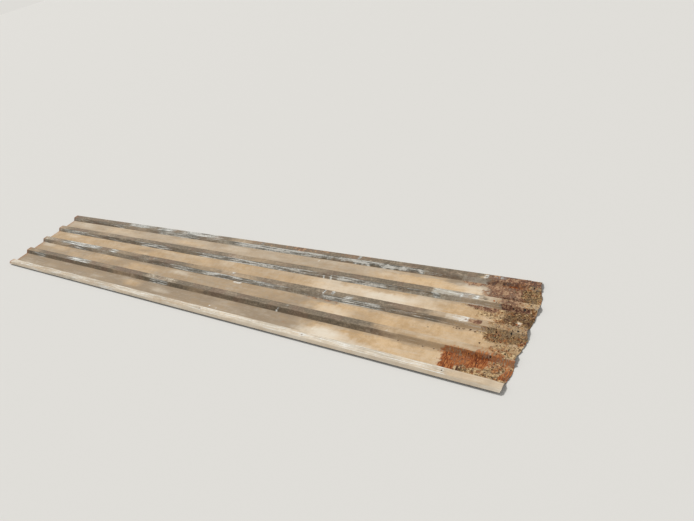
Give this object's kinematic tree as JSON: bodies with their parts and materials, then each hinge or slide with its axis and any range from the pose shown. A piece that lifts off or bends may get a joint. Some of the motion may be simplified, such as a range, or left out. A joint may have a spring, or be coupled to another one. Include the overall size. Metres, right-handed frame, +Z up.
{
  "type": "corrugated metal sheet",
  "caption": "Long roll-formed roofing and cladding sheet with flat pans between trapezoidal ribs, weathered zinc-coated steel, rusted and ragged at one end.",
  "frame": {"origin": "middle of the sheet at the level of the pans' undersides, which rest on the floor", "axes": "+X along the ribs towards the rusted end, +Y across the ribs, +Z up out of the ribs' crests"},
  "size_m": [4.8, 0.8374, 0.0296],
  "materials": {
    "weathered_zinc_steel": "dull weathered zinc coating under dust, with brown rust"
  },
  "bodies": {
    "root": {"corrugated_sheet": "weathered_zinc_steel"}
  },
  "joints": []
}
